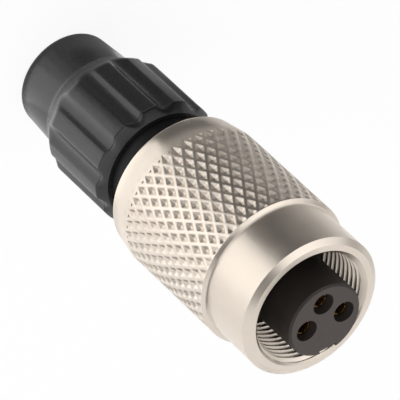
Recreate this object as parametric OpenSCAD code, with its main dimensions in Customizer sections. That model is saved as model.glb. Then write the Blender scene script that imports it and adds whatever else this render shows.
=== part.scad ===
// Circular sensor connector: cable socket with a knurled screw ring and a fluted clamp nut.
// The part stands on the nut's tail, with the axis along +Z and the mating face on top.
// The keyway of the insert faces +Y.

/* [Clamp nut] */
// Diameter over the nut's ribs
nut_d = 10; // [9.4:0.1:12]
// Length of the nut with its tail
nut_l = 12.8; // [12:0.1:18]
// Diameter of the nut's front face, inside its chamfer
nut_face_d = 8.9; // [8.4:0.1:9.3]
// Length of the chamfer at the nut's front
nut_chamfer_l = 0.65; // [0.2:0.05:1.2]
// Number of flutes round the nut
flute_count = 12; // [8:1:14]
// Depth of a flute
flute_depth = 0.34; // [0.2:0.02:0.6]
// Radius of the round cutter that makes a flute
flute_r = 0.95; // [0.5:0.05:1.1]
// Diameter of the tail where it leaves the shoulder
tail_root_d = 8.1; // [7.8:0.1:9]
// Diameter of the tail at its end
tail_end_d = 7.6; // [7.3:0.1:8]
// Length of the tail
tail_l = 4.3; // [3.4:0.1:5]
// Rounding of the tail's end
tail_edge_r = 0.6; // [0.2:0.05:0.8]
// Length of the cone between the tail and the ribs
shoulder_l = 1.7; // [1:0.1:2.4]
// Diameter of the cable hole
cable_hole_d = 5.2; // [4:0.1:5.4]
// Thickness of the nut's end wall round the cable hole
end_wall = 1.6; // [0.8:0.1:2]
// Diameter of the clamping cone at its narrow end
cone_small_d = 5.9; // [5.7:0.05:6.1]
// Diameter of the clamping cone at its wide end
cone_large_d = 6.8; // [6.6:0.05:7]
// Length of the clamping cone
cone_l = 4; // [3.6:0.1:4.6]

/* [Housing sleeve] */
// Diameter of the collar inside the ring
collar_d = 8.2; // [8:0.05:8.6]
// Length of the collar
collar_l = 10.65; // [9.5:0.05:14]
// Diameter of the threaded spigot inside the nut
spigot_d = 7.5; // [7.3:0.05:7.7]
// Length of the threaded spigot
spigot_l = 5.6; // [5:0.1:5.8]
// Diameter of the wire space
wire_bore_d = 5.6; // [5.3:0.1:5.7]
// Depth of the socket for the insert
insert_socket_l = 5; // [4:0.1:6]
// Step between the wire space and that socket
socket_step = 0.25; // [0.15:0.05:0.35]

/* [Cable seal and cage] */
// Diameter of the bore that holds the cable seal
seal_bore_d = 6.4; // [6.2:0.05:6.5]
// Length of the cable seal
seal_l = 3; // [2:0.1:3.4]
// Hole of the cable seal
seal_hole_d = 4.4; // [3.5:0.1:4.8]
// Length of the fingers beyond the nut's cone
cage_neck_l = 0.8; // [0.5:0.05:1]
// Length of the cage's closed ring
cage_ring_l = 1.1; // [0.8:0.05:1.4]
// Hole of the cage
cage_hole_d = 4.8; // [4.4:0.1:5]
// Number of fingers on the cage
finger_count = 6; // [4:1:8]
// Width of the slits between the fingers
finger_slit = 0.5; // [0.3:0.05:0.8]

/* [Coupling ring] */
// Length of the ring
ring_l = 16.6; // [15.5:0.1:20]
// Diameter of the ring's smooth front
ring_d = 11; // [10.6:0.1:11.6]
// Diameter of the ring at its rear end
ring_end_d = 11.1; // [10.6:0.1:11.6]
// Diameter over the knurl
knurl_d = 11.7; // [11.6:0.05:12.4]
// Number of knurl pits round the ring
knurl_count = 40; // [30:1:48]
// Angle between the knurl's lines and the axis
knurl_angle = 30; // [25:1:45]
// Width of the flat lines between the knurl's pits
knurl_line_w = 0.15; // [0.08:0.01:0.3]
// Depth of the knurl's pits
pit_depth = 0.26; // [0.1:0.02:0.3]
// Length of the knurl
knurl_l = 9.65; // [7:0.05:10]
// Length of the tapered band behind the knurl
rear_band_l = 2.05; // [1.5:0.05:3]
// Length of the cone that ends the knurl at the front
knurl_end_l = 0.2; // [0.15:0.05:0.8]
// Rounding of the ring's rear edge
ring_edge_r = 0.25; // [0.1:0.05:0.6]
// Length of the chamfer at the ring's mouth
mouth_chamfer_l = 0.35; // [0.2:0.01:0.8]
// Depth of that chamfer across the axis
mouth_chamfer_w = 0.43; // [0.1:0.01:0.5]
// Nominal diameter of the coupling thread
thread_d = 9; // [8.8:0.05:9.2]
// Pitch of the coupling thread
thread_pitch = 0.5; // [0.35:0.05:0.6]
// Diameter of the thread's countersunk mouth
mouth_d = 9.22; // [9.1:0.01:9.4]
// Depth of the ring's rear bore
rear_bore_l = 8.6; // [7.8:0.1:9.2]
// Thickness of the lip that holds the ring on the insert
lip_l = 1.3; // [0.8:0.1:1.8]

/* [Contact insert] */
// Diameter of the plug
plug_d = 5.8; // [5.6:0.05:6]
// How far the plug stands in front of the ring
plug_proud = 1.6; // [0:0.1:2]
// Chamfer on the plug's edge
plug_chamfer = 0.15; // [0.05:0.05:0.3]
// Thickness of the flange
flange_l = 1.2; // [0.8:0.1:1.6]
// Diameter of the neck that the ring turns on
neck_d = 6.6; // [6.4:0.05:6.8]
// Width of the keyway
keyway_w = 1.4; // [1:0.05:1.6]
// Depth of the keyway
keyway_depth = 0.45; // [0.3:0.05:0.5]
// Width of a snap nose
nose_w = 1.6; // [1:0.1:2]
// Height of a snap nose along the axis
nose_l = 1.2; // [0.8:0.1:1.6]
// Thickness of the face seal
face_seal_l = 0.8; // [0.5:0.1:1.2]
// Step at the plug's foot that centres the face seal
foot_step = 0.2; // [0.16:0.02:0.3]

/* [Contacts] */
// Diameter of the circle that the contacts stand on
contact_circle_d = 3.05; // [2.9:0.05:3.1]
// Angle between neighbouring contacts
contact_step = 92; // [90:1:100]
// Diameter of the contact's barrel
contact_d = 1.4; // [1.36:0.02:1.5]
// Diameter of the pin that a contact takes
pin_d = 1; // [0.9:0.02:1.02]
// Depth of the contact's pin bore
pin_bore_l = 5; // [4:0.1:6]
// Width of the slits in the contact's mouth
contact_slit = 0.15; // [0.1:0.01:0.16]
// Depth of those slits
contact_slit_l = 3.5; // [2:0.1:4]
// Narrow diameter of the hole in the insert's face
face_hole_d = 1.32; // [1.2:0.02:1.36]
// Wide diameter of that hole, where its lead-in cone opens at the face
lead_in_d = 1.64; // [1.5:0.02:1.8]
// Thickness of the insert in front of a contact
face_wall = 0.55; // [0.3:0.05:0.8]
// Diameter of the contact's shoulder
contact_shoulder_d = 1.84; // [1.7:0.02:1.9]
// Length of the contact's shoulder
contact_shoulder_l = 0.7; // [0.4:0.05:1]
// Length of the solder cup
solder_cup_l = 2.2; // [2:0.1:3]
// Depth of the solder cup's bore
cup_bore_l = 1.8; // [1.5:0.1:1.9]
// Length of the opening in the solder cup's side
cup_cut_l = 1.4; // [1:0.1:1.5]

/* [Clearances] */
// Radial room of a piece that turns on another
run_clear = 0.1; // [0.05:0.01:0.12]
// Radial room of a piece that sits in another
fit_clear = 0.05; // [0.03:0.01:0.08]
// Room along the axis beside a piece that turns
axial_clear = 0.1; // [0.06:0.01:0.2]
// Room between faces that seat on each other
seat_clear = 0.05; // [0.03:0.01:0.08]

/* [Hidden] */
$fn = 96;
// Overlap that carries a cut past the face that it opens
cut = 0.05;
arc_steps = 6;

// Heights along the axis, from the tail upwards
shoulder_z = tail_l + shoulder_l;
cone_top_z = end_wall + cone_l;
collar_z = nut_l + seat_clear;
spigot_z = collar_z - spigot_l;
housing_top_z = collar_z + collar_l;
lip_z = housing_top_z + axial_clear;
flange_z = lip_z + lip_l + axial_clear;
plug_z = flange_z + flange_l;
foot_top_z = plug_z + seat_clear + face_seal_l;
ring_z = lip_z - rear_bore_l;
ring_top_z = ring_z + ring_l;
plug_top_z = ring_top_z + plug_proud;
socket_z = housing_top_z - insert_socket_l;
insert_z = socket_z + seat_clear;
knurl_z = ring_z + rear_band_l;
knurl_top_z = knurl_z + knurl_l;
front_band_z = knurl_top_z + knurl_end_l;

// Radii that follow from a neighbour and a clearance
thread_minor_r = thread_d / 2 - 5 / 16 * sqrt(3) * thread_pitch;
rear_bore_r = collar_d / 2 + run_clear;
lip_r = neck_d / 2 + run_clear;
flange_r = thread_minor_r - 2 * run_clear;
insert_socket_r = wire_bore_d / 2 + socket_step;
insert_spigot_r = insert_socket_r - fit_clear;
nut_bore_r = spigot_d / 2 + run_clear;
contact_bore_r = contact_d / 2 + fit_clear;

// The cage and the seal stack up on the nut's cone
cage_z = end_wall + 2 * seat_clear;
cage_ring_z = cone_top_z + cage_neck_l;
cage_top_z = cage_ring_z + cage_ring_l;
seal_z = cage_top_z + seat_clear;
seal_seat_z = seal_z + seal_l + seat_clear;
cage_ring_r = seal_bore_d / 2 - run_clear;

contact_top_z = plug_top_z - face_wall - seat_clear;
contact_shoulder_z = insert_z - seat_clear - contact_shoulder_l;
contact_z = contact_shoulder_z - solder_cup_l;

// Points of a round corner about a centre, from one angle to another
function corner(centre, r, from, to) = [
    for (i = [0 : arc_steps])
        let (a = from + (to - from) * i / arc_steps)
            [centre[0] + r * cos(a), centre[1] + r * sin(a)]
];

// Radius of the nut's clamping cone at a height
function cone_r(z) =
    (cone_small_d + (cone_large_d - cone_small_d) * (z - end_wall) / cone_l) / 2;

// A cylinder between two heights
module bar(r, z0, z1) {
    translate([0, 0, z0])
        cylinder(r = r, h = z1 - z0);
}

// Knurl

// The knurl is a grid of half pits: pits and line crossings alternate like a chess board
knurl_sides = 2 * knurl_count;
pit_w = PI * knurl_d / knurl_count;
pit_h = pit_w / tan(knurl_angle);
knurl_rows = 2 * round(knurl_l / pit_h);
// The lines lie a hair below the bands that the drum's ends are buried in
line_r = knurl_d / 2 - 0.02;
knurl_sink = 0.2;
knurl_core_r = knurl_d / 2 - pit_depth - 2 * knurl_sink;
// Size of a pit's rim as a share of its field
rim_share = 1 - knurl_line_w / (pit_w * cos(knurl_angle));
pit_corners = [[1, 0], [0, 1], [-1, 0], [0, -1]];

// Point of the knurl's grid at a radius
function knurl_at(i, j, r) =
    let (a = 360 * i / knurl_sides)
        [r * cos(a), r * sin(a), knurl_z + cut / 2 + (knurl_l - cut) * j / knurl_rows];

// Grid points are pit floors inside the knurl, and lie on the lines elsewhere
function grid_r(i, j) =
    (i + j) % 2 == 1 || j == 0 || j == knurl_rows ? line_r : line_r - pit_depth;

// Ring of points that buries an end of the drum
function buried_ring(z) = [
    for (i = [0 : knurl_sides - 1])
        let (a = 360 * i / knurl_sides, r = knurl_core_r + knurl_sink / 2)
            [r * cos(a), r * sin(a), z]
];

// A solid drum with flat lines on its skin and four-sided pits between them
module knurl_drum() {
    grid = [
        for (j = [0 : knurl_rows], i = [0 : knurl_sides - 1])
            knurl_at(i, j, grid_r(i, j))
    ];
    rims = [
        for (j = [1 : knurl_rows - 1], p = [0 : knurl_count - 1], c = pit_corners)
            knurl_at(2 * p + j % 2 + rim_share * c[0], j + rim_share * c[1], line_r)
    ];
    rim_start = len(grid);
    low_start = rim_start + len(rims);
    high_start = low_start + knurl_sides;
    function at(i, j) = j * knurl_sides + (i + knurl_sides) % knurl_sides;
    function rim(p, j, k) = rim_start + ((j - 1) * knurl_count + p) * 4 + k % 4;
    function corner_at(i, j, k) = at(i + pit_corners[k % 4][0], j + pit_corners[k % 4][1]);
    function low(i) = low_start + i % knurl_sides;
    function high(i) = high_start + i % knurl_sides;
    pits = [
        for (j = [1 : knurl_rows - 1], p = [0 : knurl_count - 1], k = [0 : 3])
            let (i = 2 * p + j % 2, c = corner_at(i, j, k))
                for (face = [
                    [c, rim(p, j, k), rim(p, j, k + 1)],
                    [c, rim(p, j, k + 1), corner_at(i, j, k + 1)],
                    [rim(p, j, k), at(i, j), rim(p, j, k + 1)]
                ])
                    face
    ];
    ends = [
        for (p = [0 : knurl_count - 1])
            let (i = 2 * p, t = knurl_rows)
                for (face = [
                    [at(i, 0), at(i, 1), at(i + 1, 0)],
                    [at(i - 1, 0), at(i, 1), at(i, 0)],
                    [at(i - 1, t), at(i, t), at(i, t - 1)],
                    [at(i, t - 1), at(i, t), at(i + 1, t)]
                ])
                    face
    ];
    skirts = [
        for (i = [0 : knurl_sides - 1])
            let (t = knurl_rows)
                for (face = [
                    [low(i), at(i, 0), low(i + 1)],
                    [low(i + 1), at(i, 0), at(i + 1, 0)],
                    [at(i, t), high(i), at(i + 1, t)],
                    [at(i + 1, t), high(i), high(i + 1)]
                ])
                    face
    ];
    bottom = [for (i = [0 : knurl_sides - 1]) low(i)];
    top = [for (i = [knurl_sides - 1 : -1 : 0]) high(i)];
    polyhedron(
        points = concat(
            grid, rims, buried_ring(knurl_z - knurl_sink), buried_ring(knurl_top_z + knurl_sink)
        ),
        faces = concat(pits, ends, skirts, [bottom, top]),
        convexity = 10
    );
}

// Turned blank of the ring: tapered rear band, core under the knurl and smooth front
module ring_blank() {
    end_r = ring_end_d / 2;
    front_r = ring_d / 2;
    rotate_extrude()
        polygon(concat(
            [[0, ring_z]],
            corner([end_r - ring_edge_r, ring_z + ring_edge_r], ring_edge_r, -90, 0),
            [
                [knurl_d / 2, knurl_z],
                [knurl_core_r, knurl_z],
                [knurl_core_r, knurl_top_z],
                [knurl_d / 2, knurl_top_z],
                [front_r, front_band_z],
                [front_r, ring_top_z - mouth_chamfer_l],
                [front_r - mouth_chamfer_w, ring_top_z],
                [0, ring_top_z]
            ]
        ));
}

// Hollow of the ring: rear bore, lip and thread bore with a countersunk mouth
module ring_hollow() {
    mouth_r = mouth_d / 2;
    mouth_l = mouth_r - thread_minor_r;
    bar(rear_bore_r, ring_z - cut, lip_z);
    bar(lip_r, lip_z - cut, lip_z + lip_l + cut);
    bar(thread_minor_r, lip_z + lip_l, ring_top_z + cut);
    translate([0, 0, ring_top_z - mouth_l])
        cylinder(r1 = thread_minor_r, r2 = mouth_r + cut, h = mouth_l + cut);
}

module coupling_ring() {
    color([0.78, 0.75, 0.70])
        difference() {
            union() {
                ring_blank();
                knurl_drum();
            }
            ring_hollow();
        }
}

// Contact insert

// Carries its children to the place of one contact; the middle one faces away from the keyway
module at_contact(k) {
    rotate([0, 0, -90 + (k - 2) * contact_step])
        translate([contact_circle_d / 2, 0, 0])
            children();
}

// Ramped nose that snaps into a window of the housing
module snap_nose() {
    top_z = socket_z + insert_socket_l / 2 + nose_l / 2;
    depth = (collar_d / 2 - insert_socket_r) / 2;
    half_angle = asin(nose_w / 2 / insert_socket_r);
    rotate([0, 0, -half_angle])
        rotate_extrude(angle = 2 * half_angle)
            polygon([
                [insert_spigot_r - depth, top_z - nose_l],
                [insert_spigot_r, top_z - nose_l],
                [insert_spigot_r + depth, top_z - nose_l / 3],
                [insert_spigot_r + depth, top_z],
                [insert_spigot_r - depth, top_z]
            ]);
}

// Body of the insert as turned from one profile: spigot, neck, flange and plug
module insert_body() {
    plug_r = plug_d / 2;
    rotate_extrude()
        polygon([
            [0, insert_z],
            [insert_spigot_r, insert_z],
            [insert_spigot_r, housing_top_z + seat_clear],
            [neck_d / 2, housing_top_z + seat_clear],
            [neck_d / 2, flange_z],
            [flange_r, flange_z],
            [flange_r, plug_z],
            [plug_r + foot_step, plug_z],
            [plug_r + foot_step, foot_top_z],
            [plug_r, foot_top_z],
            [plug_r, plug_top_z - plug_chamfer],
            [plug_r - plug_chamfer, plug_top_z],
            [0, plug_top_z]
        ]);
}

// Groove along the plug that the mating key slides in
module keyway() {
    floor_y = plug_d / 2 - keyway_depth;
    translate([-keyway_w / 2, floor_y, foot_top_z])
        cube([keyway_w, plug_d / 2, plug_top_z - foot_top_z + cut]);
}

// Cone that leads a pin through the insert's face into a contact
module lead_in() {
    slope = (lead_in_d - face_hole_d) / 2 / face_wall;
    translate([0, 0, plug_top_z - face_wall - cut])
        cylinder(
            r1 = face_hole_d / 2 - slope * cut,
            r2 = lead_in_d / 2 + slope * cut,
            h = face_wall + 2 * cut
        );
}

module contact_insert() {
    color([0.22, 0.21, 0.20])
        difference() {
            union() {
                insert_body();
                for (side = [0, 180])
                    rotate([0, 0, side])
                        snap_nose();
            }
            keyway();
            for (k = [1 : 3])
                at_contact(k) {
                    lead_in();
                    bar(contact_bore_r, insert_z - cut, contact_top_z + seat_clear);
                }
        }
}

// Flat rubber ring round the foot of the plug
module face_seal() {
    inner_r = plug_d / 2 + foot_step + fit_clear;
    edge = 0.2;
    z0 = plug_z + seat_clear;
    z1 = z0 + face_seal_l;
    color([0.10, 0.10, 0.10])
        rotate_extrude()
            polygon(concat(
                [[inner_r, z0], [flange_r, z0]],
                corner([flange_r - edge, z1 - edge], edge, 0, 90),
                corner([inner_r + edge, z1 - edge], edge, 90, 180)
            ));
}

// Contacts

// Turned socket contact: slit mouth, barrel, shoulder and solder cup
module socket_contact() {
    edge = 0.1;
    r = contact_d / 2;
    color([0.86, 0.66, 0.28])
        difference() {
            rotate_extrude()
                polygon([
                    [0, contact_z],
                    [r, contact_z],
                    [r, contact_shoulder_z],
                    [contact_shoulder_d / 2, contact_shoulder_z],
                    [contact_shoulder_d / 2, contact_shoulder_z + contact_shoulder_l],
                    [r, contact_shoulder_z + contact_shoulder_l],
                    [r, contact_top_z - edge],
                    [r - edge, contact_top_z],
                    [0, contact_top_z]
                ]);
            bar(pin_d / 2, contact_top_z - pin_bore_l, contact_top_z + cut);
            for (turn = [0, 90])
                rotate([0, 0, turn])
                    translate([-contact_d, -contact_slit / 2, contact_top_z - contact_slit_l])
                        cube([2 * contact_d, contact_slit, contact_slit_l + cut]);
            bar(pin_d / 2, contact_z - cut, contact_z + cup_bore_l);
            translate([0, -contact_d, contact_z - cut])
                cube([contact_d, 2 * contact_d, cup_cut_l + cut]);
        }
}

module contact_1() {
    at_contact(1)
        socket_contact();
}

module contact_2() {
    at_contact(2)
        socket_contact();
}

module contact_3() {
    at_contact(3)
        socket_contact();
}

// Housing sleeve

module housing_sleeve() {
    window_z = socket_z + insert_socket_l / 2 - nose_l / 2 - seat_clear;
    window_h = nose_l + 2 * seat_clear;
    window_w = nose_w + 4 * fit_clear;
    lead_in = 0.3;
    color([0.12, 0.12, 0.12])
        difference() {
            rotate_extrude()
                polygon([
                    [0, spigot_z],
                    [spigot_d / 2 - lead_in, spigot_z],
                    [spigot_d / 2, spigot_z + lead_in],
                    [spigot_d / 2, collar_z],
                    [collar_d / 2, collar_z],
                    [collar_d / 2, housing_top_z - lead_in],
                    [collar_d / 2 - lead_in, housing_top_z],
                    [0, housing_top_z]
                ]);
            bar(seal_bore_d / 2, spigot_z - cut, seal_seat_z);
            bar(wire_bore_d / 2, seal_seat_z - cut, socket_z + cut);
            bar(insert_socket_r, socket_z, housing_top_z + cut);
            translate([-collar_d, -window_w / 2, window_z])
                cube([2 * collar_d, window_w, window_h]);
        }
}

// Cable clamp

// Rubber ring with two lips inside
module cable_seal() {
    outer_r = seal_bore_d / 2 - fit_clear;
    hole_r = seal_hole_d / 2;
    groove = 0.2;
    top_z = seal_z + seal_l;
    third = seal_l / 3;
    color([0.08, 0.08, 0.08])
        rotate_extrude()
            polygon([
                [hole_r, seal_z],
                [outer_r, seal_z],
                [outer_r, top_z],
                [hole_r, top_z],
                [hole_r, top_z - third / 2],
                [hole_r + groove, top_z - third],
                [hole_r + groove, seal_z + third],
                [hole_r, seal_z + third / 2]
            ]);
}

// Slit cage: a closed ring behind the seal and fingers that lie on the nut's cone
module clamp_cage() {
    hole_r = cage_hole_d / 2;
    color([0.16, 0.16, 0.16])
        difference() {
            rotate_extrude()
                polygon([
                    [hole_r, cage_z],
                    [cone_r(cage_z) - run_clear, cage_z],
                    [cone_r(cone_top_z) - run_clear, cone_top_z],
                    [cage_ring_r, cage_ring_z],
                    [cage_ring_r, cage_top_z],
                    [hole_r, cage_top_z]
                ]);
            for (i = [0 : finger_count - 1])
                rotate([0, 0, 360 * i / finger_count])
                    translate([0, -finger_slit / 2, cage_z - cut])
                        cube([nut_d, finger_slit, cage_ring_z - cage_z + cut]);
        }
}

// Outline of the nut: rounded tail, cone, ribbed body and front chamfer
module nut_blank() {
    end_r = tail_end_d / 2;
    rotate_extrude()
        polygon(concat(
            [[0, 0]],
            corner([end_r - tail_edge_r, tail_edge_r], tail_edge_r, -90, 0),
            [
                [tail_root_d / 2, tail_l],
                [nut_d / 2, shoulder_z],
                [nut_d / 2, nut_l - nut_chamfer_l],
                [nut_face_d / 2, nut_l],
                [0, nut_l]
            ]
        ));
}

module clamp_nut() {
    floor_r = nut_d / 2 - flute_depth;
    color([0.20, 0.20, 0.20])
        difference() {
            nut_blank();
            for (i = [0 : flute_count - 1])
                rotate([0, 0, 360 * (i + 0.5) / flute_count])
                    translate([floor_r + flute_r, 0, 0])
                        bar(flute_r, tail_l, nut_l + cut);
            bar(cable_hole_d / 2, -cut, end_wall + cut);
            translate([0, 0, end_wall])
                cylinder(r1 = cone_small_d / 2, r2 = cone_large_d / 2, h = cone_l);
            bar(nut_bore_r, cone_top_z, nut_l + cut);
        }
}

coupling_ring();
contact_insert();
contact_1();
contact_2();
contact_3();
face_seal();
housing_sleeve();
cable_seal();
clamp_cage();
clamp_nut();
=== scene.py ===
"""Dresses the circular sensor connector and sets up its studio and camera.

The knurled ring, the fluted nut and the thread on the spigot are built here. The other pieces
keep their solids and get a finish. Sizes are in millimetres where nothing else is said, and the
connector's axis is Z.
"""
import logging
import math
from dataclasses import dataclass, field
from enum import Enum

import bpy
import numpy as np
from mathutils import Matrix, Vector


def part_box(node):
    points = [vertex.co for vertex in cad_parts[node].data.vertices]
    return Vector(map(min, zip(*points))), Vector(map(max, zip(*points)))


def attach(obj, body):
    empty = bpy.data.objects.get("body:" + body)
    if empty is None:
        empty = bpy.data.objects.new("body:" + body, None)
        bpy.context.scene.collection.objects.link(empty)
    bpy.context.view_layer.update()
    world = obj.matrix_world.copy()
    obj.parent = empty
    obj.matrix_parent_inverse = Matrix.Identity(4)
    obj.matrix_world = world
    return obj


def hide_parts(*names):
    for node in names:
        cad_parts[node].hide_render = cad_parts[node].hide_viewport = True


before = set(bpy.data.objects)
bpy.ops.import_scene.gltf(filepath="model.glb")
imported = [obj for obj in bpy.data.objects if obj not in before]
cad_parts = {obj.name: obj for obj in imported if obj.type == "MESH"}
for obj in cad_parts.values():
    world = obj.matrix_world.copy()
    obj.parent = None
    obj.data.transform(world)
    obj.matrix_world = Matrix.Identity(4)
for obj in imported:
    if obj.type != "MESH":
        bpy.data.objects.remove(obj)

log = logging.getLogger("connector")

Colour = tuple[float, float, float]
Triple = tuple[float, float, float]
Point = tuple[float, float]
Edges = tuple[Point, Point]
Loop = list[int]
Radii = float | np.ndarray

MM = 0.001
NOISE_LOW, NOISE_HIGH = 0.3, 0.7
WHITE: Colour = (1.0, 1.0, 1.0)
WHITE_GLOW = 1.0


class Body(Enum):
    """Bodies that carry the new pieces."""

    HOUSING = "housing"
    RING = "ring"
    NUT = "nut"


class Slot(Enum):
    """Labels of the new pieces' finishes."""

    RING_PLATE = "ring_plate"
    NUT_PLASTIC = "nut_plastic"
    HOUSING_PLASTIC = "housing_plastic"


def heights(node: str) -> tuple[float, float]:
    """Finds the height range of a node of the frame.

    Args:
        node: Name of the node.

    Returns:
        Lowest and highest height in millimetres.
    """
    low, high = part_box(node)
    return low[2] / MM, high[2] / MM


def even_angles(count: int) -> np.ndarray:
    """Spreads so many angles evenly round the axis, in radians."""
    return np.arange(count) * (2 * math.pi / count)


def arc(centre: Point, radius: float, start: float, end: float, steps: int) -> list[Point]:
    """Lists points of a round corner in a profile.

    Args:
        centre: Centre as radius and height.
        radius: Radius of the corner.
        start: First angle in degrees.
        end: Last angle in degrees.
        steps: Number of stretches.

    Returns:
        Points as radius and height.
    """
    angles = np.radians(np.linspace(start, end, steps + 1))
    return [(centre[0] + radius * math.cos(a), centre[1] + radius * math.sin(a)) for a in angles]


def smooth_min(first: Radii, second: Radii, width: float) -> Radii:
    """Takes the smaller of two radii and rounds the edge where they meet.

    Args:
        first: First radii.
        second: Second radii.
        width: Width of the rounding.

    Returns:
        The rounded minimum.
    """
    share = np.clip(width - np.abs(first - second), 0.0, None) / width
    return np.minimum(first, second) - share * share * width / 4


class Skin:
    """Closed surface that is built loop by loop around the axis."""

    def __init__(self, angles: np.ndarray) -> None:
        """Starts an empty surface with a loop point at each angle."""
        self.angles = angles
        self.points: list[Triple] = []
        self.faces: list[tuple[int, ...]] = []
        self.soft_faces: set[int] = set()

    def point(self, angle: float, radius: float, height: float) -> int:
        """Adds one point.

        Args:
            angle: Angle about the axis in radians.
            radius: Distance from the axis.
            height: Height along the axis.

        Returns:
            Number of the point.
        """
        self.points.append((radius * math.cos(angle), radius * math.sin(angle), height))
        return len(self.points) - 1

    def circle(self, radius: float, height: float) -> Loop:
        """Adds a round loop."""
        return [self.point(a, radius, height) for a in self.angles]

    def wave(self, radii: np.ndarray, height: float) -> Loop:
        """Adds a loop whose radius changes round the axis."""
        return [self.point(a, r, height) for a, r in zip(self.angles, radii)]

    def bridge(self, first: Loop, second: Loop) -> Loop:
        """Joins two loops by a band of four-sided faces.

        Args:
            first: Loop that the band starts from.
            second: Loop that it ends at, with as many points.

        Returns:
            The second loop, to go on from.
        """
        total = len(first)
        for i in range(total):
            j = (i + 1) % total
            self.faces.append((first[i], first[j], second[j], second[i]))
        return second

    def fan(self, loop: Loop, middle: int) -> None:
        """Closes a loop by three-sided faces that meet in one point.

        Args:
            loop: Loop to close.
            middle: Number of the point.
        """
        for k, point in enumerate(loop):
            self.faces.append((point, loop[(k + 1) % len(loop)], middle))

    def sweep(self, start: Loop, profile: list[Point]) -> Loop:
        """Carries a loop along a profile.

        Args:
            start: Loop to start from.
            profile: Radius and height of each further loop.

        Returns:
            The last loop.
        """
        loop = start
        for radius, height in profile:
            loop = self.bridge(loop, self.circle(radius, height))
        return loop

    def finish(self, name: str, sharp: float) -> bpy.types.Object:
        """Makes the mesh object.

        Args:
            name: Name of the piece.
            sharp: Angle in degrees above which an edge stays crisp.

        Returns:
            The new object.
        """
        mesh = bpy.data.meshes.new(name)
        mesh.from_pydata([tuple(c * MM for c in p) for p in self.points], [], self.faces)
        mesh.polygons.foreach_set("use_smooth", [True] * len(mesh.polygons))
        mesh.set_sharp_from_angle(angle=math.radians(sharp))
        self.soften(mesh)
        mesh.validate()
        piece = bpy.data.objects.new(name, mesh)
        bpy.context.scene.collection.objects.link(piece)
        return piece

    def soften(self, mesh: bpy.types.Mesh) -> None:
        """Rounds the shading over all edges that lie between soft faces.

        Args:
            mesh: Mesh of this surface.
        """
        crisp = {
            edge
            for face in mesh.polygons
            if face.index not in self.soft_faces
            for edge in face.edge_keys
        }
        for edge in mesh.edges:
            if edge.key not in crisp:
                edge.use_edge_sharp = False


def opaque(colour: Colour) -> tuple[float, float, float, float]:
    """Adds full cover to a colour."""
    return *colour, 1.0


class NodeTree:
    """Short way to write a material's or the world's nodes."""

    def __init__(self, tree: bpy.types.NodeTree) -> None:
        """Empties the tree."""
        self.tree = tree
        tree.nodes.clear()

    def add(self, kind: str, inputs: dict | None = None, **settings: object) -> bpy.types.Node:
        """Adds a node.

        Args:
            kind: Node type without its prefix.
            inputs: Socket names or numbers with a value, or with the socket that feeds them.
            settings: Properties of the node.

        Returns:
            The new node.
        """
        node = self.tree.nodes.new("ShaderNode" + kind)
        for name, value in settings.items():
            setattr(node, name, value)
        for name, value in (inputs or {}).items():
            if isinstance(value, bpy.types.NodeSocket):
                self.tree.links.new(value, node.inputs[name])
            else:
                node.inputs[name].default_value = value
        return node

    def output(self, shader: bpy.types.NodeSocket, kind: str) -> None:
        """Sends a shader to the output node."""
        node = self.tree.nodes.new("ShaderNodeOutput" + kind)
        self.tree.links.new(shader, node.inputs["Surface"])

    def noise(
        self, scale: float, detail: float, stretch: Triple = (1.0, 1.0, 1.0)
    ) -> bpy.types.NodeSocket:
        """Adds a noise in object space.

        Args:
            scale: Number of cells to a metre.
            detail: Octaves.
            stretch: Scale along each axis.

        Returns:
            The noise's factor.
        """
        place = self.add("TexCoord")
        mapping = self.add("Mapping", {"Vector": place.outputs["Object"], "Scale": stretch})
        texture = self.add(
            "TexNoise", {"Vector": mapping.outputs["Vector"], "Scale": scale, "Detail": detail}
        )
        return texture.outputs["Fac"]

    def spread(self, factor: bpy.types.NodeSocket, low: float, high: float) -> bpy.types.NodeSocket:
        """Maps the middle of a noise to a range of values.

        Args:
            factor: The noise.
            low: Value where the noise is low.
            high: Value where the noise is high.

        Returns:
            The mapped value.
        """
        node = self.add(
            "MapRange",
            {
                "Value": factor,
                "From Min": NOISE_LOW,
                "From Max": NOISE_HIGH,
                "To Min": low,
                "To Max": high,
            },
        )
        return node.outputs["Result"]

    def tint(self, factor: bpy.types.NodeSocket, low: Colour, high: Colour) -> bpy.types.NodeSocket:
        """Blends two colours by a noise.

        Args:
            factor: The noise.
            low: Colour where the noise is low.
            high: Colour where the noise is high.

        Returns:
            The blended colour.
        """
        ramp = self.add("ValToRGB", {"Fac": factor})
        first, second = ramp.color_ramp.elements
        first.position, first.color = NOISE_LOW, opaque(low)
        second.position, second.color = NOISE_HIGH, opaque(high)
        return ramp.outputs["Color"]


def new_material(name: str) -> tuple[bpy.types.Material, NodeTree]:
    """Makes an empty node material.

    Args:
        name: Name of the material.

    Returns:
        The material and its tree.
    """
    material = bpy.data.materials.new(name)
    material.use_nodes = True
    return material, NodeTree(material.node_tree)


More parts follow.
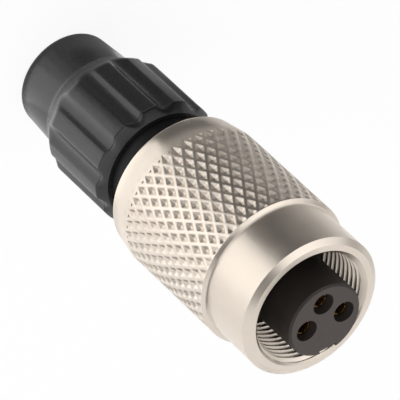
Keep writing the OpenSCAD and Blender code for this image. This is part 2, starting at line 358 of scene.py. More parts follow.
@dataclass(frozen=True)
class PlatedMetal:
    """Satin plated metal: cloudy tone, fine grain and faint turning lines.

    Scales are in cells to a metre, and the relief is in metres.
    """

    name: str
    low: Colour
    high: Colour
    rough_low: float
    rough_high: float
    grain: float
    turning: float
    cloud_scale: float = 500.0
    cloud_detail: float = 3.0
    grain_scale: float = 16000.0
    grain_detail: float = 2.0
    line_scale: float = 11000.0
    line_detail: float = 2.0
    line_stretch: Triple = (0.01, 0.01, 1.0)
    relief: float = 2e-6

    def material(self) -> bpy.types.Material:
        """Builds the material.

        Returns:
            The procedural material.
        """
        material, nodes = new_material(self.name)
        cloud = nodes.noise(self.cloud_scale, self.cloud_detail)
        grain = nodes.noise(self.grain_scale, self.grain_detail)
        lines = nodes.noise(self.line_scale, self.line_detail, self.line_stretch)
        fine = nodes.add("Bump", {"Height": grain, "Strength": self.grain, "Distance": self.relief})
        turned = nodes.add(
            "Bump",
            {
                "Height": lines,
                "Strength": self.turning,
                "Distance": self.relief,
                "Normal": fine.outputs["Normal"],
            },
        )
        shader = nodes.add(
            "BsdfPrincipled",
            {
                "Base Color": nodes.tint(cloud, self.low, self.high),
                "Metallic": 1.0,
                "Roughness": nodes.spread(cloud, self.rough_low, self.rough_high),
                "Normal": turned.outputs["Normal"],
            },
        )
        nodes.output(shader.outputs["BSDF"], "Material")
        return material


@dataclass(frozen=True)
class MouldedPlastic:
    """Moulded plastic or rubber: slightly uneven tone and eroded mould grain.

    Scales are in cells to a metre, and the relief is in metres.
    """

    name: str
    low: Colour
    high: Colour
    rough_low: float
    rough_high: float
    grain: float
    specular: float = 0.5
    mirror_tint: Colour = WHITE
    cloud_scale: float = 700.0
    cloud_detail: float = 4.0
    grain_scale: float = 13000.0
    grain_detail: float = 3.0
    relief: float = 4e-6

    def material(self) -> bpy.types.Material:
        """Builds the material.

        Returns:
            The procedural material.
        """
        material, nodes = new_material(self.name)
        cloud = nodes.noise(self.cloud_scale, self.cloud_detail)
        grain = nodes.noise(self.grain_scale, self.grain_detail)
        bump = nodes.add("Bump", {"Height": grain, "Strength": self.grain, "Distance": self.relief})
        shader = nodes.add(
            "BsdfPrincipled",
            {
                "Base Color": nodes.tint(cloud, self.low, self.high),
                "Roughness": nodes.spread(grain, self.rough_low, self.rough_high),
                "Specular IOR Level": self.gloss(nodes),
                "Specular Tint": opaque(self.mirror_tint),
                "Normal": bump.outputs["Normal"],
            },
        )
        nodes.output(shader.outputs["BSDF"], "Material")
        return material

    def gloss(self, nodes: NodeTree) -> float | bpy.types.NodeSocket:
        """Gives the strength of the mirror on the surface.

        Args:
            nodes: Tree for any further nodes; not used here.

        Returns:
            A plain number, or the socket that gives it.
        """
        return self.specular


@dataclass(frozen=True)
class WallShadedPlastic(MouldedPlastic):
    """Moulded plastic whose walls along the axis mirror less than its dull bright end face, a
    painted shade that keeps the walls darker.

    The slopes are the upward part of the surface's normal on a wall and on the face.
    """

    shaded_wall_specular: float = 0.2
    wall_slope: float = 0.6
    face_slope: float = 0.9

    def gloss(self, nodes: NodeTree) -> float | bpy.types.NodeSocket:
        """Weakens the mirror on the walls, as painted shade that darkens them.

        Args:
            nodes: Tree that takes the nodes.

        Returns:
            The socket that gives the strength.
        """
        # Painted shade: the mirror fades from the face's strength to the walls' as the normal turns
        # from up to sideways.
        normal = nodes.add("NewGeometry").outputs["Normal"]
        axes = nodes.add("SeparateXYZ", {"Vector": normal})
        level = nodes.add(
            "MapRange",
            {
                "Value": axes.outputs["Z"],
                "From Min": self.wall_slope,
                "From Max": self.face_slope,
                "To Min": self.shaded_wall_specular,
                "To Max": self.specular,
            },
        )
        return level.outputs["Result"]


NICKEL = PlatedMetal(
    "satin_nickel",
    low=(0.745, 0.663, 0.575),
    high=(0.785, 0.703, 0.613),
    rough_low=0.31,
    rough_high=0.37,
    grain=0.10,
    turning=0.08,
)
GOLD = PlatedMetal(
    "contact_gold",
    low=(0.86, 0.55, 0.18),
    high=(0.95, 0.66, 0.26),
    rough_low=0.20,
    rough_high=0.28,
    grain=0.05,
    turning=0.10,
)
NUT_BLACK = MouldedPlastic(
    "nut_black",
    low=(0.010, 0.010, 0.010),
    high=(0.015, 0.015, 0.015),
    rough_low=0.26,
    rough_high=0.34,
    grain=0.12,
)
# Black plastic with painted shade: darker and duller than the nut's, so the collar in the gap
# between nut and ring stays dark.
HOUSING_BLACK_SHADE = MouldedPlastic(
    "housing_black_shade",
    low=(0.006, 0.006, 0.006),
    high=(0.010, 0.010, 0.010),
    rough_low=0.45,
    rough_high=0.55,
    grain=0.1,
    specular=0.2,
)
CAGE_BLACK = MouldedPlastic(
    "cage_black",
    low=(0.030, 0.030, 0.030),
    high=(0.042, 0.042, 0.042),
    rough_low=0.42,
    rough_high=0.52,
    grain=0.1,
)
# Black plastic with painted shade: the insert's walls mirror less than its end face, so they look
# darker.
INSERT_BLACK_SHADED_WALLS = WallShadedPlastic(
    "insert_black_shaded_walls",
    low=(0.015, 0.0118, 0.0105),
    high=(0.019, 0.0155, 0.014),
    rough_low=0.5,
    rough_high=0.6,
    grain=0.2,
    specular=0.9,
    mirror_tint=(1.0, 0.89, 0.84),
)
SEAL_RUBBER = MouldedPlastic(
    "seal_rubber",
    low=(0.014, 0.014, 0.014),
    high=(0.022, 0.022, 0.022),
    rough_low=0.65,
    rough_high=0.8,
    grain=0.3,
    specular=0.3,
)


def dress_node(node: str, material: bpy.types.Material) -> None:
    """Gives a node of the frame its material.

    Args:
        node: Name of the node.
        material: Material for all its faces.
    """
    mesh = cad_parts[node].data
    mesh.materials.clear()
    mesh.materials.append(material)
    log.info("%s dressed in %s", node, material.name)


def place(piece: bpy.types.Object, body: Body, slot: Slot, material: bpy.types.Material) -> None:
    """Dresses a new piece and lets it ride on a body.

    Args:
        piece: The new piece.
        body: Body that carries it.
        slot: Not used.
        material: Its material.
    """
    piece.data.materials.append(material)
    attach(piece, body.value)
    log.info("%s built, %d faces", piece.name, len(piece.data.polygons))


@dataclass
class Knurl:
    """Diamond knurl of the ring: crossed round lines with four-sided pits between them.

    Shares, the front cut, its insets and the tips are in half pits. The crest lists the loops
    from a line down into a pit, each with its share of the pit and its depth below the lines.
    """

    count: int = 40
    rows: int = 12
    outer_d: float = 11.7
    length: float = 9.7
    end_l: float = 0.13
    end_d: float = 11.24
    pit_depth: float = 0.215
    line_share: float = 0.74
    crest: tuple[Point, ...] = (
        (0.90, 0.002), (0.77, 0.008), (0.68, 0.026), (0.60, 0.056), (0.28, 0.153)
    )
    valley: float = 0.2
    front_cut: float = 0.25
    cut_insets: tuple[float, ...] = (0.02, 0.05, 0.08, 0.11, 0.18)
    tip_start: float = 0.42
    tip_sink: float = 0.04
    spokes: tuple[tuple[int, int], ...] = ((1, 0), (0, 1), (-1, 0), (0, -1))
    skin: Skin = field(init=False)
    low: float = field(init=False)
    rear: Loop = field(init=False)
    front: Loop = field(init=False)
    crossings: dict[tuple[int, int], int] = field(init=False)
    ends: dict[int, int] = field(init=False)

    @property
    def sides(self) -> int:
        """Counts the half pits round the ring."""
        return 2 * self.count

    @property
    def row_h(self) -> float:
        """Gives the height of half a pit."""
        return self.length / (self.rows + self.front_cut)

    @property
    def step(self) -> int:
        """Counts the loop points along half a pit."""
        return len(self.rear) // self.sides

    def cut(self, skin: Skin, low: float, rear: Loop, front: Loop) -> None:
        """Fills the stretch between two loops with lines and pits.

        Args:
            skin: Surface of the ring.
            low: Height where the knurl begins.
            rear: Loop where the rear band ends.
            front: Loop where the smooth front begins.
        """
        self.skin, self.low, self.rear, self.front = skin, low, rear, front
        self.crossings = {
            (i, j): self.at(i, j)
            for j in range(1, self.rows + 1)
            for i in range(self.sides)
            if (i + j) % 2
        }
        self.ends = {i: self.at(i, self.rows + self.front_cut) for i in range(1, self.sides, 2)}
        for j in range(1, self.rows):
            for i in range(j % 2, self.sides, 2):
                self.pit(i, j)
        for i in range(0, self.sides, 2):
            self.rear_tip(i)
            self.front_pit(i)

    def at(self, i: float, j: float, depth: float = 0.0) -> int:
        """Adds a point of the knurl's grid.

        Args:
            i: Place round the ring in half pits.
            j: Place along the ring in half pits.
            depth: Depth below the lines.

        Returns:
            Number of the point.
        """
        angle = 2 * math.pi * i / self.sides
        return self.skin.point(angle, self.outer_d / 2 - depth, self.low + self.row_h * j)

    def crossing(self, i: int, j: int) -> int:
        """Finds the point where two lines cross.

        Args:
            i: Place round the ring in half pits.
            j: Place along the ring in half pits.

        Returns:
            Number of the point, on the rear band's loop where j is 0.
        """
        i %= self.sides
        return self.rear[i * self.step] if j == 0 else self.crossings[i, j]

    def pit(self, i: int, j: int) -> None:
        """Makes one whole pit with its half of the lines.

        Args:
            i: Place round the ring in half pits.
            j: Place along the ring in half pits.
        """
        faces = self.skin.faces
        first = len(faces)
        corners = [self.crossing(i + x, j + y) for x, y in self.spokes]
        loops = [
            [self.at(i + share * x, j + share * y, depth) for x, y in self.rim()]
            for share, depth in self.crest
        ]
        floor = self.at(i, j, self.pit_depth)
        side = len(loops[0]) // len(corners)
        for k in range(len(corners)):
            edge = [loops[0][(side * k + n) % len(loops[0])] for n in range(side + 1)]
            faces.append((corners[k], corners[(k + 1) % len(corners)], *reversed(edge)))
        for outer, inner in zip(loops, loops[1:]):
            self.skin.bridge(outer, inner)
        self.skin.fan(loops[-1], floor)
        self.skin.soft_faces.update(range(first, len(faces)))

    def rim(self) -> list[Point]:
        """Lists the outline of a pit of half pit size, with points beside its corners.

        Returns:
            Points as shares round and along the ring.
        """
        points = []
        for k, first in enumerate(self.spokes):
            second = self.spokes[(k + 1) % len(self.spokes)]
            for share in (0.0, self.valley, 1.0 - self.valley):
                points.append(tuple(a + (b - a) * share for a, b in zip(first, second)))
        return points

    def rear_tip(self, i: int) -> None:
        """Makes the tip of a pit that the rear band cuts off.

        Args:
            i: Place round the ring in half pits.
        """
        share = self.line_share
        half = share - self.tip_start
        left = self.at(i - half, self.tip_start)
        right = self.at(i + half, self.tip_start)
        tip = self.at(i, share)
        depth = self.pit_depth * (1 - self.tip_start / share)
        floor = self.at(i, self.tip_start + self.tip_sink, depth)
        places = range((i - 1) * self.step, (i + 1) * self.step + 1)
        base = [self.rear[k % len(self.rear)] for k in places]
        top = self.crossing(i, 1)
        self.skin.faces += [
            (*base, right, left),
            (base[-1], top, tip, right),
            (top, base[0], left, tip),
            (tip, left, floor),
            (right, tip, floor),
            (left, right, floor),
        ]

    def front_pit(self, i: int) -> None:
        """Makes a pit of the last row, which the cone before the smooth front cuts off.

        Args:
            i: Place round the ring in half pits.
        """
        faces = self.skin.faces
        first = len(faces)
        right, left = self.crossing(i + 1, self.rows), self.crossing(i - 1, self.rows)
        edge = self.cut_edge(i, share=1.0, depth=0.0, inset=0.0)
        ends = self.ends[(i - 1) % self.sides], self.ends[(i + 1) % self.sides]
        faces += [(right, ends[1], edge[0]), (left, edge[2], ends[0])]
        outer = [right, *edge, left, self.crossing(i, self.rows - 1)]
        for (share, depth), inset in zip(self.crest, self.cut_insets):
            inner = [
                self.at(i + share, self.rows, depth),
                *self.cut_edge(i, share, depth, inset),
                self.at(i - share, self.rows, depth),
                self.at(i, self.rows - share, depth),
            ]
            outer = self.skin.bridge(outer, inner)
        self.skin.fan(outer, self.at(i, self.rows, self.pit_depth))
        self.skin.soft_faces.update(range(first, len(faces)))
        places = range((i + 1) * self.step, (i - 1) * self.step - 1, -1)
        rim = [self.front[k % len(self.front)] for k in places]
        faces.append((ends[0], *reversed(edge), ends[1], *rim))

    def cut_edge(self, i: int, share: float, depth: float, inset: float) -> list[int]:
        """Adds the points where the outline of a pit meets the knurl's front end.

        Args:
            i: Place of the pit round the ring in half pits.
            share: Size of the outline as a share of the pit.
            depth: Depth of the outline below the lines.
            inset: Distance from the knurl's end in half pits.

        Returns:
            Right, middle and left point.
        """
        past = self.front_cut - inset
        half = share - past
        return [self.at(i + x, self.rows + past, depth) for x in (half, 0.0, -half)]


@dataclass(frozen=True)
class MouthThread:
    """Right-hand thread inside the ring, with a countersunk mouth and a run-out."""

    minor_d: float = 8.459
    major_d: float = 9.0
    mouth_d: float = 9.22
    pitch: float = 0.5
    pitch_rows: int = 16
    start: float = 0.1
    groove_height: float = 1.2
    groove_slope: float = 3.2

    def cut(self, skin: Skin, mouth: Loop, high: float, low: float) -> Loop:
        """Cuts the thread from the mouth inwards.

        Args:
            skin: Surface of the ring.
            mouth: Loop at the edge of the mouth.
            high: Height of the mouth.
            low: Height where the thread has run out.

        Returns:
            The last loop, on the plain bore.
        """
        depth = (self.major_d - self.minor_d) / 2
        rows = round((high - low) / self.pitch * self.pitch_rows)
        loop = mouth
        for z in np.linspace(high, low, rows + 1):
            phase = ((z - high) / self.pitch - skin.angles / (2 * math.pi) + self.start) % 1.0
            groove = np.clip(self.groove_height - np.abs(phase - 0.5) * self.groove_slope, 0.0, 1.0)
            run_out = min(1.0, (z - low) / self.pitch)
            countersink = self.mouth_d / 2 - (high - z)
            radii = np.maximum(self.minor_d / 2 + depth * groove * run_out, countersink)
            loop = skin.bridge(loop, skin.wave(radii, z))
        return loop


@dataclass
class CouplingRing:
    """Turned screw ring: tapered rear, diamond knurl, smooth front and threaded mouth."""

    node: str = "coupling_ring"
    piece: str = "screw_ring"
    knurl: Knurl = field(default_factory=Knurl)
    thread: MouthThread = MouthThread()
    loop_count: int = 240
    sharp: float = 28.0
    rear_band_l: float = 2.05
    rear_end_d: float = 11.1
    edge_r: float = 0.25
    edge_steps: int = 5
    front_d: float = 11.0
    front_run: float = 0.32
    front_fillet: tuple[Point, ...] = ((0.065, 0.06), (0.03, 0.13), (0.008, 0.22))
    chamfer_l: float = 0.35
    chamfer_w: float = 0.43
    break_edge: float = 0.03
    thread_end_l: float = 1.1
    lip_z: float = 23.6
    lip_l: float = 1.3
    lip_d: float = 6.8
    rear_bore_d: float = 8.4
    rear_chamfer: float = 0.15
    low: float = field(init=False)
    high: float = field(init=False)

    def build(self) -> None:
        """Builds the ring and puts it in the place of its solid."""
        self.low, self.high = heights(self.node)
        knurl_z = self.low + self.rear_band_l
        front_z = knurl_z + self.knurl.length + self.knurl.end_l
        lip_top = self.lip_z + self.lip_l
        skin = Skin(even_angles(self.loop_count))
        seam = skin.circle(self.rear_bore_d / 2 + self.rear_chamfer, self.low)
        rear = skin.sweep(seam, self.rear_profile(knurl_z))
        front = skin.circle(self.knurl.end_d / 2, front_z)
        self.knurl.cut(skin, knurl_z, rear, front)
        mouth = skin.sweep(front, self.front_profile(front_z))
        bore = self.thread.cut(skin, mouth, self.high, lip_top + self.thread_end_l)
        inner = skin.sweep(bore, self.inner_profile(lip_top))
        skin.bridge(inner, seam)
        piece = skin.finish(self.piece, self.sharp)
        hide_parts(self.node)
        place(piece, Body.RING, Slot.RING_PLATE, NICKEL.material())

    def rear_profile(self, knurl_z: float) -> list[Point]:
        """Gives the rear face, its round edge and the tapered band.

        Args:
            knurl_z: Height where the knurl begins.

        Returns:
            Points as radius and height.
        """
        centre = (self.rear_end_d / 2 - self.edge_r, self.low + self.edge_r)
        corner = arc(centre, self.edge_r, -90, 0, self.edge_steps)
        return corner + [(self.knurl.outer_d / 2, knurl_z)]

    def front_profile(self, front_z: float) -> list[Point]:
        """Gives the fillet, the smooth front, the chamfer and the face up to the countersink.

        Args:
            front_z: Height where the smooth front begins.

        Returns:
            Points as radius and height.
        """
        r = self.front_d / 2
        return [
            *[(r + out, front_z + up) for out, up in self.front_fillet],
            (r, front_z + self.front_run),
            (r, self.high - self.chamfer_l),
            (r - self.chamfer_w, self.high),
            (self.thread.mouth_d / 2 + self.break_edge, self.high),
        ]

    def inner_profile(self, lip_top: float) -> list[Point]:
        """Gives the lip and the rear bore, down to the rear face.

        Args:
            lip_top: Height of the lip's front face.

        Returns:
            Points as radius and height.
        """
        rear = self.rear_bore_d / 2
        return [
            (self.thread.minor_d / 2, lip_top),
            (self.lip_d / 2, lip_top),
            (self.lip_d / 2, self.lip_z),
            (rear, self.lip_z),
            (rear, self.low + self.rear_chamfer),
        ]


@dataclass
class ClampNut:
    """Moulded clamp nut: tapered tail, cone, twelve round flutes and soft edges."""

    node: str = "clamp_nut"
    piece: str = "fluted_nut"
    sharp: float = 40.0
    nut_d: float = 10.0
    face_d: float = 8.9
    chamfer_l: float = 0.65
    flute_count: int = 12
    flute_depth: float = 0.34
    flute_r: float = 0.85
    flute_soft: float = 0.22
    sector_points: int = 26
    crowding: float = 0.045
    tail_root_d: float = 8.1
    tail_end_d: float = 7.6
    tail_l: float = 4.3
    tail_edge_r: float = 0.6
    shoulder_l: float = 1.7
    shoulder_soft: float = 0.12
    front_soft: float = 0.1
    seam_w: float = 0.07
    seam_depth: float = 0.05
    cable_hole_d: float = 5.2
    cable_chamfer: float = 0.1
    end_wall: float = 1.6
    cone_small_d: float = 5.9
    cone_large_d: float = 6.8
    cone_l: float = 4.0
    bore_d: float = 7.7
    bore_chamfer: float = 0.12
    edge_rows: int = 9
    tail_rows: int = 10
    tail_margin: float = 0.3
    shoulder_rows: int = 44
    shoulder_lead: float = 0.2
    shoulder_lag: float = 0.3
    rib_rows: int = 14
    rib_lead: float = 0.5
    rib_lag: float = 0.4
    seam_rows: tuple[float, ...] = (1.6, 1.5, 1.0, 0.5, 0.4)
    front_rows: int = 20
    low: float = field(init=False)
    high: float = field(init=False)

    @property
    def shoulder_z(self) -> float:
        """Gives the height where the ribs reach their full size."""
        return self.tail_l + self.shoulder_l

    @property
    def chamfer_z(self) -> float:
        """Gives the height where the front cone begins."""
        return self.high - self.chamfer_l

    def build(self) -> None:
        """Builds the nut and puts it in the place of its solid."""
        self.low, self.high = heights(self.node)
        skin = Skin(self.sector_angles())
        hole_r = self.cable_hole_d / 2
        hole = skin.circle(hole_r, self.low + self.cable_chamfer)
        loop = skin.sweep(hole, [(hole_r + self.cable_chamfer, self.low)])
        flutes = self.flute_radii(skin.angles)
        for z in self.rows():
            radii = np.full(len(skin.angles), self.outline(z))
            if z > self.tail_l:
                radii = smooth_min(radii, flutes, self.flute_soft)
            loop = skin.bridge(loop, skin.wave(radii - self.seam(z), z))
        inner = skin.sweep(loop, self.inner_profile())
        skin.bridge(inner, hole)
        piece = skin.finish(self.piece, self.sharp)
        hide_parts(self.node)
        place(piece, Body.NUT, Slot.NUT_PLASTIC, NUT_BLACK.material())

    def sector_angles(self) -> np.ndarray:
        """Spreads the points round the nut, closer together at the edges of the flutes.

        Returns:
            Angles in radians.
        """
        pitch = 2 * math.pi / self.flute_count
        share = np.arange(self.sector_points) / self.sector_points
        crowd = share - self.crowding * np.sin(4 * math.pi * share)
        return np.concatenate([(k + crowd) * pitch for k in range(self.flute_count)])

    def flute_radii(self, angles: np.ndarray) -> np.ndarray:
        """Gives the radius of the flutes' walls at each angle, far outside the nut between them.

        Args:
            angles: Angles in radians.

        Returns:
            Radii of the flutes' walls.
        """
        pitch = 2 * math.pi / self.flute_count
        offset = (angles % pitch) - pitch / 2
        middle = self.nut_d / 2 - self.flute_depth + self.flute_r
        root = self.flute_r ** 2 - (middle * np.sin(offset)) ** 2
        wall = middle * np.cos(offset) - np.sqrt(np.clip(root, 0.0, None))
        return np.where(root > 0, wall, self.nut_d)

    def outline(self, z: float) -> float:
        """Gives the radius of the nut's blank at a height.

        Args:
            z: Height along the axis.

        Returns:
            Radius of the turned outline.
        """
        full_r, root_r, end_r = self.nut_d / 2, self.tail_root_d / 2, self.tail_end_d / 2
        round_r = self.tail_edge_r
        if z < round_r:
            return end_r - round_r + math.sqrt(max(round_r ** 2 - (round_r - z) ** 2, 0.0))
        tail = end_r + (root_r - end_r) * (z - round_r) / (self.tail_l - round_r)
        cone = root_r + (full_r - root_r) * (z - self.tail_l) / self.shoulder_l
        front = full_r + (self.face_d / 2 - full_r) * (z - self.chamfer_z) / self.chamfer_l
        rear = -smooth_min(-tail, -cone, self.shoulder_soft)
        body = smooth_min(rear, full_r, self.shoulder_soft)
        return float(smooth_min(body, front, self.front_soft))

    def seam(self, z: float) -> float:
        """Gives the depth of the fine mould seam before the front cone.

        Args:
            z: Height along the axis.

        Returns:
            Depth below the outline.
        """
        middle = self.chamfer_z - self.seam_w
        return self.seam_depth * max(0.0, 1 - 2 * abs(z - middle) / self.seam_w)

    def rows(self) -> np.ndarray:
        """Lists the heights of the nut's loops, closer where the form changes.

        Returns:
            Heights along the axis.
        """
        round_r = self.tail_edge_r
        turn = np.radians(np.linspace(0, 90, self.edge_rows))
        tail = round_r + self.tail_margin, self.tail_l - self.tail_margin
        shoulder = self.tail_l - self.shoulder_lead, self.shoulder_z + self.shoulder_lag
        ribs = self.shoulder_z + self.rib_lead, self.chamfer_z - self.rib_lag
        return np.concatenate([
            self.low + round_r * (1 - np.cos(turn)),
            np.linspace(*tail, self.tail_rows),
            np.linspace(*shoulder, self.shoulder_rows),
            np.linspace(*ribs, self.rib_rows),
            self.chamfer_z - self.seam_w * np.array(self.seam_rows),
            np.linspace(self.chamfer_z, self.high, self.front_rows),
        ])

    def inner_profile(self) -> list[Point]:
        """Gives the front face, the bore, the clamping cone and the end wall.

        Returns:
            Points as radius and height.
        """
        cone_top = self.end_wall + self.cone_l
        bore_r = self.bore_d / 2
        return [
            (bore_r + self.bore_chamfer, self.high),
            (bore_r, self.high - self.bore_chamfer),
            (bore_r, cone_top),
            (self.cone_large_d / 2, cone_top),
            (self.cone_small_d / 2, self.end_wall),
            (self.cable_hole_d / 2, self.end_wall),
        ]


@dataclass
class SpigotThread:
    """Thread ridge on the housing's spigot that the clamp nut runs on."""

    piece: str = "spigot_thread"
    sharp: float = 35.0
    spigot_d: float = 7.5
    crest_d: float = 7.66
    foot_sink: float = 0.05
    pitch: float = 0.75
    start_z: float = 7.7
    end_z: float = 12.5
    root_w: float = 0.42
    crest_w: float = 0.14
    turn_steps: int = 72
    taper_steps: int = 12

    def build(self) -> None:
        """Builds the ridge as one swept strip with tapered ends."""
        steps = round((self.end_z - self.start_z) / self.pitch * self.turn_steps)
        skin = Skin(even_angles(self.turn_steps))
        foot = self.spigot_d / 2 - self.foot_sink
        loops = []
        for k in range(steps + 1):
            angle = 2 * math.pi * k / self.turn_steps
            z = self.start_z + self.pitch * k / self.turn_steps
            taper = min(1.0, k / self.taper_steps, (steps - k) / self.taper_steps)
            crest = foot + (self.crest_d / 2 - foot) * taper
            loops.append([
                skin.point(angle, foot, z - self.root_w / 2),
                skin.point(angle, crest, z - self.crest_w / 2),
                skin.point(angle, crest, z + self.crest_w / 2),
                skin.point(angle, foot, z + self.root_w / 2),
            ])
        for first, second in zip(loops, loops[1:]):
            skin.bridge(second, first)
        skin.faces.append(tuple(loops[0]))
        skin.faces.append(tuple(reversed(loops[-1])))
        piece = skin.finish(self.piece, self.sharp)
        place(piece, Body.HOUSING, Slot.HOUSING_PLASTIC, HOUSING_BLACK_SHADE.material())


@dataclass(frozen=True)
class InnerPieces:
    """Pieces whose solids already have their true form."""

    contacts: tuple[str, ...] = ("contact_1", "contact_2", "contact_3")
    seals: tuple[str, ...] = ("face_seal", "cable_seal")
    insert: str = "contact_insert"
    sleeve: str = "housing_sleeve"
    cage: str = "clamp_cage"

    def dress(self) -> None:
        """Gives each of these pieces its finish."""
        gold = GOLD.material()
        rubber = SEAL_RUBBER.material()
        for contact in self.contacts:
            dress_node(contact, gold)
        for seal in self.seals:
            dress_node(seal, rubber)
        dress_node(self.insert, INSERT_BLACK_SHADED_WALLS.material())
        dress_node(self.sleeve, HOUSING_BLACK_SHADE.material())
        dress_node(self.cage, CAGE_BLACK.material())


def direction(azimuth: float, elevation: float) -> Vector:
    """Turns viewing angles into a direction.

    Args:
        azimuth: Degrees round the axis, 0 on the side of -Y and 90 on the side of +X.
        elevation: Degrees above the floor.

    Returns:
        Unit vector away from the connector.
    """
    a = math.radians(azimuth)
    e = math.radians(elevation)
    return Vector((math.sin(a) * math.cos(e), -math.cos(a) * math.cos(e), math.sin(e)))


def add_sheet(name: str, corners: list[Vector], faces: list[tuple[int, ...]]) -> bpy.types.Object:
    """Adds a sheet that belongs to the studio and not to the connector.

    Args:
        name: Name of the sheet.
        corners: Its points in metres.
        faces: Its faces.

    Returns:
        The sheet.
    """
    mesh = bpy.data.meshes.new(name)
    mesh.from_pydata(corners, [], faces)
    sheet = bpy.data.objects.new(name, mesh)
    bpy.context.scene.collection.objects.link(sheet)
    return sheet


@dataclass(frozen=True)
class SoftBox:
    """Square lamp that looks at the connector; distance and size are in metres."""

    name: str
    azimuth: float
    elevation: float
    distance: float
    size: float
    watts: float

    def build(self, aim: Vector) -> None:
        """Hangs the lamp.

        Args:
            aim: Point that it looks at.
        """
        data = bpy.data.lights.new(self.name, "AREA")
        data.size = self.size
        data.energy = self.watts
        lamp = bpy.data.objects.new(self.name, data)
        away = direction(self.azimuth, self.elevation)
        lamp.location = aim + away * self.distance
        lamp.visible_glossy = False
        lamp.rotation_euler = away.to_track_quat("Z", "Y").to_euler()
        bpy.context.scene.collection.objects.link(lamp)


@dataclass(frozen=True)
class Card:
    """Bent sheet round the connector that only mirrors on it can see.

    Its near and far edges are given as distance from the axis and height.
    """

    name: str
    azimuth: float
    half_angle: float
    edges: Edges
    glow: float
    steps: int = 16
    speck_scale: float = 60.0
    speck_detail: float = 2.0
    speck_low: Colour = (0.96, 0.96, 0.96)

    def build(self) -> None:
        """Stands or lays the sheet."""
        first, last = self.azimuth - self.half_angle, self.azimuth + self.half_angle
        corners = []
        for angle in np.linspace(first, last, self.steps + 1):
            away = direction(angle, 0.0)
            for radius, height in self.edges:
                corners.append((away * radius + Vector((0.0, 0.0, height))) * MM)
        faces = [(2 * k, 2 * k + 1, 2 * k + 3, 2 * k + 2) for k in range(self.steps)]
        card = add_sheet(self.name, corners, faces)
        card.data.materials.append(self.material())
        card.visible_camera = False
        card.visible_diffuse = False
        card.visible_shadow = False
        card.visible_transmission = False

    def material(self) -> bpy.types.Material:
        """Builds the glowing paint of the sheet.

        Returns:
            The procedural material.
        """
        material, nodes = new_material(self.name)
        speck = nodes.noise(self.speck_scale, self.speck_detail)
        tone = nodes.tint(speck, self.speck_low, WHITE)
        paint = nodes.add("Emission", {"Color": tone, "Strength": self.glow})
        nodes.output(paint.outputs["Emission"], "Material")
        return material


TAIL_LANE: Edges = ((4.2, 0.3), (9.5, 0.3))
TAIL_DARK_LANE: Edges = ((5.3, 0.3), (9.5, 0.3))
RIB_LANE: Edges = ((9.5, 0.3), (20.0, 0.3))
RIB_DARK_LANE: Edges = ((9.5, 0.35), (20.0, 0.35))
BAND_LANE: Edges = ((8.0, 9.5), (8.0, 14.2))
FLOOR_LANE: Edges = ((14.0, 0.3), (70.0, 0.3))


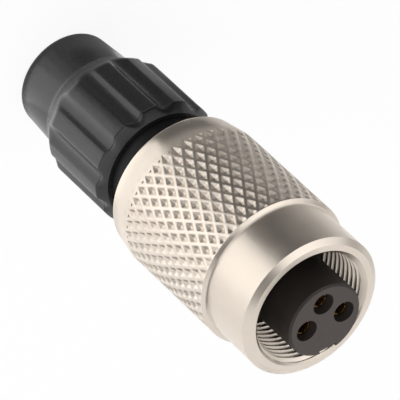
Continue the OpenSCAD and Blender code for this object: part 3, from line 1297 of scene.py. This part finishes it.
@dataclass(frozen=True)
class Studio:
    """White floor, white surroundings, soft lamps, and cards that the connector mirrors.

    The floor's sizes and the lamps' aim are in metres, and the specks' scale in cells to a metre.
    """

    floor_half: float = 4.0
    floor_drop: float = 2e-5
    floor_tone: float = 0.82
    speck_scale: float = 40.0
    speck_detail: float = 3.0
    speck: float = 0.01
    floor_white: float = 0.92
    mirror_lift: float = 0.12
    ambient: float = 0.3
    aim: Triple = (0.0, 0.0, 0.0175)
    lamps: tuple[SoftBox, ...] = (
        SoftBox("key_box", azimuth=75.0, elevation=40.0, distance=0.45, size=0.30, watts=1.0),
        SoftBox("top_box", azimuth=150.0, elevation=78.0, distance=0.5, size=0.30, watts=1.6),
    )
    # Each card's name, azimuth, half angle, edges and glow.
    cards: tuple[Card, ...] = (
        Card("dark_near", -16.0, 16.0, TAIL_DARK_LANE, 0.3),
        Card("dusk_near", -48.0, 16.0, TAIL_DARK_LANE, 0.45),
        Card("dim_near", 7.0, 7.0, TAIL_LANE, 0.55),
        Card("mild_near", 20.0, 6.0, TAIL_LANE, 0.85),
        Card("clear_near", 33.0, 7.0, TAIL_LANE, 1.25),
        Card("bright_near", 66.0, 26.0, TAIL_LANE, 1.9),
        Card("side_near", 126.0, 34.0, TAIL_LANE, 1.2),
        Card("rim_near", -95.0, 25.0, TAIL_DARK_LANE, 1.5),
        Card("dark_ribs", -8.5, 36.5, RIB_DARK_LANE, 0.3),
        Card("bright_ribs", 75.0, 44.0, RIB_LANE, 1.9),
        Card("side_ribs", 139.0, 20.0, RIB_LANE, 1.2),
        Card("band_dark", -19.0, 31.0, BAND_LANE, 0.08),
        Card("band_middle", 54.0, 36.0, BAND_LANE, 1.3),
        Card("band_side", 125.0, 35.0, BAND_LANE, 0.85),
        Card("pit_ring", 75.0, 60.0, ((6.4, 14.3), (9.2, 14.3)), 1.15),
        Card("pit_shade", -22.5, 37.5, ((7.6, 14.3), (9.6, 14.3)), 0.45),
        Card("dark_floor", -7.0, 23.0, FLOOR_LANE, 0.09),
        Card("dusk_floor", -42.5, 12.5, FLOOR_LANE, 0.2),
        Card("haze_floor", -67.5, 12.5, FLOOR_LANE, 0.4),
        Card("pale_floor", -92.5, 12.5, FLOOR_LANE, 0.7),
        Card("dark_wall", -18.0, 50.0, ((70.0, 0.3), (70.0, 23.0)), 0.3),
        Card("bright_floor", 55.0, 27.0, ((20.0, 0.3), (50.0, 0.3)), 1.5),
        Card("grey_floor", 116.0, 12.0, ((55.0, 0.3), (108.0, 0.3)), 0.38),
        Card("grey_wall", 100.0, 34.0, ((110.0, 0.3), (110.0, 70.0)), 0.27),
        Card("room_wall", 52.0, 34.0, ((100.0, 420.0), (470.0, 260.0)), 0.12),
        Card("side_roof", 75.0, 45.0, ((60.0, 370.0), (150.0, 345.0)), 0.06),
        Card("bright_roof", -35.0, 45.0, ((105.0, 360.0), (300.0, 290.0)), 1.5),
        Card("shade_wall", -97.0, 14.0, ((110.0, 45.0), (110.0, 90.0)), 0.35),
        Card("pale_wall", 209.0, 60.0, ((180.0, 60.0), (140.0, 260.0)), 0.95),
    )

    def build(self) -> None:
        """Builds the surroundings, the floor, the cards and the lamps."""
        bpy.context.scene.view_settings.view_transform = "Standard"
        self.build_world()
        self.build_floor()
        for card in self.cards:
            card.build()
        for lamp in self.lamps:
            lamp.build(Vector(self.aim))
        log.info("studio built with %d lamps and %d cards", len(self.lamps), len(self.cards))

    def seen_factor(self, nodes: NodeTree) -> bpy.types.NodeSocket:
        """Adds the test for rays from the camera, a mirror or glass.

        Args:
            nodes: Tree that takes the nodes.

        Returns:
            1 for such a ray, 0 for light that falls on something.
        """
        path = nodes.add("LightPath").outputs
        first = nodes.add(
            "Math", {0: path["Is Camera Ray"], 1: path["Is Glossy Ray"]}, operation="MAXIMUM"
        )
        second = nodes.add(
            "Math",
            {0: first.outputs["Value"], 1: path["Is Transmission Ray"]},
            operation="MAXIMUM",
        )
        return second.outputs["Value"]

    def build_world(self) -> None:
        """Makes the surroundings white to see and softer as light."""
        world = bpy.data.worlds.new("white_room")
        world.use_nodes = True
        nodes = NodeTree(world.node_tree)
        light = nodes.add("Background", {"Color": opaque(WHITE), "Strength": self.ambient})
        seen = nodes.add("Background", {"Color": opaque(WHITE), "Strength": WHITE_GLOW})
        mix = nodes.add(
            "MixShader",
            {
                0: self.seen_factor(nodes),
                1: light.outputs["Background"],
                2: seen.outputs["Background"],
            },
        )
        nodes.output(mix.outputs["Shader"], "World")
        bpy.context.scene.world = world

    def build_floor(self) -> None:
        """Lays the floor, which the camera sees as white with a faint shadow."""
        h, z = self.floor_half, -self.floor_drop
        corners = [Vector(c) for c in ((-h, -h, z), (h, -h, z), (h, h, z), (-h, h, z))]
        floor = add_sheet("floor", corners, [(0, 1, 2, 3)])
        material, nodes = new_material("floor_white")
        tone = nodes.tint(
            nodes.noise(self.speck_scale, self.speck_detail),
            (self.floor_tone,) * 3,
            (self.floor_tone + self.speck,) * 3,
        )
        paint = nodes.add("BsdfDiffuse", {"Color": tone})
        path = nodes.add("LightPath").outputs
        lift = nodes.add("MapRange", {"Value": path["Is Glossy Ray"], "To Max": self.mirror_lift})
        mirrored = nodes.add("Emission", {"Strength": lift.outputs["Result"]})
        lit = nodes.add("AddShader", {0: paint.outputs["BSDF"], 1: mirrored.outputs["Emission"]})
        share = nodes.add("MapRange", {"Value": path["Is Camera Ray"], "To Max": self.floor_white})
        white = nodes.add("Emission", {"Strength": WHITE_GLOW})
        seen = nodes.add(
            "MixShader",
            {0: share.outputs["Result"], 1: lit.outputs["Shader"], 2: white.outputs["Emission"]},
        )
        nodes.output(seen.outputs["Shader"], "Material")
        floor.data.materials.append(material)


@dataclass(frozen=True)
class PhotoCamera:
    """Long lens at the photograph's viewing angle; the clip distances are in metres."""

    azimuth: float = 29.0
    elevation: float = 41.13
    roll: float = 133.0
    distance: float = 418.1
    aim: Triple = (-0.17, -0.11, 17.51)
    lens: float = 540.0
    sensor: float = 36.0
    clip_start: float = 0.01
    clip_end: float = 20.0

    def build(self) -> None:
        """Sets up the camera."""
        data = bpy.data.cameras.new("photo_camera")
        data.lens = self.lens
        data.sensor_width = self.sensor
        data.clip_start = self.clip_start
        data.clip_end = self.clip_end
        camera = bpy.data.objects.new("photo_camera", data)
        back = direction(self.azimuth, self.elevation)
        camera.location = (Vector(self.aim) + back * self.distance) * MM
        level = back.to_track_quat("Z", "Y").to_matrix()
        turn = Matrix.Rotation(math.radians(self.roll), 3, "Z")
        camera.rotation_euler = (level @ turn).to_euler()
        bpy.context.scene.collection.objects.link(camera)
        bpy.context.scene.camera = camera
        log.info("camera built")


def main() -> None:
    """Builds the pieces, the studio and the camera in order."""
    logging.basicConfig(level=logging.INFO, format="%(message)s")
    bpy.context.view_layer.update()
    CouplingRing().build()
    ClampNut().build()
    SpigotThread().build()
    InnerPieces().dress()
    Studio().build()
    PhotoCamera().build()


if __name__ == "__main__":
    main()
